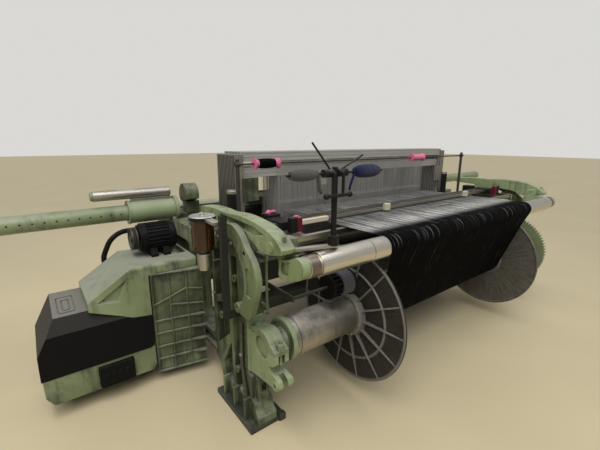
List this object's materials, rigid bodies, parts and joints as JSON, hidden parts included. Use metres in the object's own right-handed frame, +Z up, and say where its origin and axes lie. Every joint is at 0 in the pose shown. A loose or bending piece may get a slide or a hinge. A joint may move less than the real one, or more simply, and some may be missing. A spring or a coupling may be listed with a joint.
{
  "type": "power loom",
  "caption": "Wide rapier weaving loom seen from its warp side, with ribbed beam flanges, chrome whip roller, heald frames, drive housing and rapier tubes.",
  "frame": {"origin": "on the floor at the centre of the four floor anchor holes", "axes": "+X along the machine's width, to the right when seen from the warp beam; +Y from the warp beam towards the cloth side; +Z up"},
  "size_m": [5.9, 2.056, 1.4654],
  "materials": {
    "sage_paint": "semi-gloss",
    "dark_paint": "satin",
    "black_cover": "satin",
    "dark_steel": "worn",
    "steel": "brushed",
    "chrome_roller": "polished",
    "barrel_steel": "dull",
    "rail_alloy": "satin",
    "amber_glass": "clear",
    "lid_alloy": "satin",
    "black_hose": "matte",
    "grey_box": "satin",
    "black_yarn": "matte",
    "dark_cloth": "matte",
    "grey_yarn": "matte",
    "navy_yarn": "matte",
    "pink_yarn": "matte",
    "rubber_roller": "matte",
    "fan_hub": "gloss"
  },
  "bodies": {
    "machine": {"left_side_frame": "sage_paint", "right_side_frame": "sage_paint", "floor_plates": "dark_paint", "cross_beams": "dark_paint", "breast_beam": "sage_paint", "beam_brackets": "sage_paint", "backrest_arms": "sage_paint", "curved_brackets": "sage_paint", "letoff_housing": "sage_paint", "steel_column": "dark_steel", "oil_bowl": "amber_glass", "oil_lid": "lid_alloy", "oil_cup": "lid_alloy", "ribbed_cover": "sage_paint", "drive_hood": "sage_paint", "drive_cover": "black_cover", "drive_base": "sage_paint", "control_box": "grey_box", "air_hose": "black_hose", "drive_motor": "grey_box", "rapier_tubes": "sage_paint", "tube_sleeves": "sage_paint", "rapier_housings": "sage_paint", "frame_guides": "dark_paint", "stop_motion": "steel", "drop_wires": "dark_steel", "warp_sheet": "black_yarn", "shed_threads": "black_yarn", "cloth_web": "dark_cloth", "spool_stand": "dark_paint", "bobbin_rod": "dark_steel"},
    "left_cap": {"left_bearing_cap": "sage_paint"},
    "right_cap": {"right_bearing_cap": "sage_paint"},
    "backrest": {"left_roller_bracket": "sage_paint", "right_roller_bracket": "sage_paint"},
    "roller": {"whip_roller": "chrome_roller"},
    "beam": {"beam_barrel": "barrel_steel", "left_beam_flange": "dark_steel", "right_beam_flange": "dark_steel", "beam_coupling": "sage_paint", "beam_gear": "sage_paint", "warp_winding": "black_yarn"},
    "pinion": {"letoff_pinion": "steel"},
    "pulley": {"motor_pulley": "dark_steel"},
    "left_rapier": {"left_rapier_rod": "steel"},
    "right_rapier": {"right_rapier_rod": "steel"},
    "sley_swing": {"sley": "dark_steel", "reed": "steel"},
    "healds_1": {"heald_group_1": "rail_alloy"},
    "healds_2": {"heald_group_2": "rail_alloy"},
    "healds_3": {"heald_group_3": "rail_alloy"},
    "healds_4": {"heald_group_4": "rail_alloy"},
    "takeup": {"takeup_roller": "dark_steel"},
    "press": {"press_roller": "rubber_roller"},
    "cloth_roll": {"cloth_roller": "dark_cloth"},
    "stand_spool_left": {"left_stand_spool": "grey_yarn"},
    "stand_spool_right": {"right_stand_spool": "navy_yarn"},
    "edge_spool": {"selvedge_spool": "fan_hub"},
    "bobbin_left": {"left_bobbin": "pink_yarn"},
    "bobbin_right": {"right_bobbin": "pink_yarn"}
  },
  "joints": [
    {"name": "left_cap_hinge", "type": "hinge", "parent": "machine", "child": "left_cap", "pos_m": [-1.39, -0.75, 0.559], "axis": [-1, 0, 0], "range_deg": [0, 80]},
    {"name": "right_cap_hinge", "type": "hinge", "parent": "machine", "child": "right_cap", "pos_m": [1.39, -0.75, 0.559], "axis": [-1, 0, 0], "range_deg": [0, 80]},
    {"name": "backrest_swing", "type": "hinge", "parent": "machine", "child": "backrest", "pos_m": [0, -0.94, 1.03], "axis": [1, 0, 0], "range_deg": [-1, 1], "stiffness_Nm_per_rad": 40000, "deforming": ["warp_sheet"]},
    {"name": "roller_spin", "type": "hinge", "parent": "backrest", "child": "roller", "pos_m": [0, -1.066, 0.957], "axis": [1, 0, 0], "continuous": true},
    {"name": "beam_spin", "type": "hinge", "parent": "machine", "child": "beam", "pos_m": [0, -0.834, 0.499], "axis": [1, 0, 0], "continuous": true},
    {"name": "pinion_spin", "type": "hinge", "parent": "machine", "child": "pinion", "pos_m": [1.3, -0.48627, 0.59218], "axis": [1, 0, 0], "continuous": true},
    {"name": "pulley_spin", "type": "hinge", "parent": "machine", "child": "pulley", "pos_m": [-1.74, 0.12, 0.882], "axis": [1, 0, 0], "continuous": true},
    {"name": "left_rapier_slide", "type": "slide", "parent": "machine", "child": "left_rapier", "axis": [1, 0, 0], "range_m": [0, 0.95]},
    {"name": "right_rapier_slide", "type": "slide", "parent": "machine", "child": "right_rapier", "axis": [-1, 0, 0], "range_m": [0, 0.95]},
    {"name": "sley_rock", "type": "hinge", "parent": "machine", "child": "sley_swing", "pos_m": [0, 0.4, 0.42], "axis": [1, 0, 0], "range_deg": [-10.5, 0]},
    {"name": "heald_lift_1", "type": "slide", "parent": "machine", "child": "healds_1", "axis": [0, 0, 1], "range_m": [-0.1, 0]},
    {"name": "heald_lift_2", "type": "slide", "parent": "machine", "child": "healds_2", "axis": [0, 0, 1], "range_m": [0, 0.1]},
    {"name": "heald_lift_3", "type": "slide", "parent": "machine", "child": "healds_3", "axis": [0, 0, 1], "range_m": [-0.1, 0]},
    {"name": "heald_lift_4", "type": "slide", "parent": "machine", "child": "healds_4", "axis": [0, 0, 1], "range_m": [0, 0.1]},
    {"name": "takeup_spin", "type": "hinge", "parent": "machine", "child": "takeup", "pos_m": [0, 0.59, 0.79], "axis": [1, 0, 0], "continuous": true},
    {"name": "press_spin", "type": "hinge", "parent": "machine", "child": "press", "pos_m": [0, 0.54985, 0.67968], "axis": [1, 0, 0], "continuous": true},
    {"name": "cloth_roll_spin", "type": "hinge", "parent": "machine", "child": "cloth_roll", "pos_m": [0, 0.602, 0.42], "axis": [1, 0, 0], "continuous": true},
    {"name": "left_stand_spool_spin", "type": "hinge", "parent": "machine", "child": "stand_spool_left", "pos_m": [-1.35, -1.06, 1.3395], "axis": [1, 0, 0], "continuous": true},
    {"name": "right_stand_spool_spin", "type": "hinge", "parent": "machine", "child": "stand_spool_right", "pos_m": [-1, -1.06, 1.3395], "axis": [1, 0, 0], "continuous": true},
    {"name": "selvedge_spin", "type": "hinge", "parent": "machine", "child": "edge_spool", "pos_m": [-0.996, -0.9, 0.739], "axis": [1, 0, 0], "continuous": true},
    {"name": "left_bobbin_spin", "type": "hinge", "parent": "machine", "child": "bobbin_left", "pos_m": [-1.046, -0.3, 1.336], "axis": [1, 0, 0], "continuous": true},
    {"name": "right_bobbin_spin", "type": "hinge", "parent": "machine", "child": "bobbin_right", "pos_m": [0.496, -0.3, 1.336], "axis": [1, 0, 0], "continuous": true}
  ],
  "couplings": [
    {"joint": "pinion_spin", "follows": "beam_spin", "ratio": -4},
    {"joint": "right_rapier_slide", "follows": "left_rapier_slide", "ratio": 1},
    {"joint": "press_spin", "follows": "takeup_spin", "ratio": -1.875},
    {"joint": "cloth_roll_spin", "follows": "takeup_spin", "ratio": -0.6522}
  ]
}
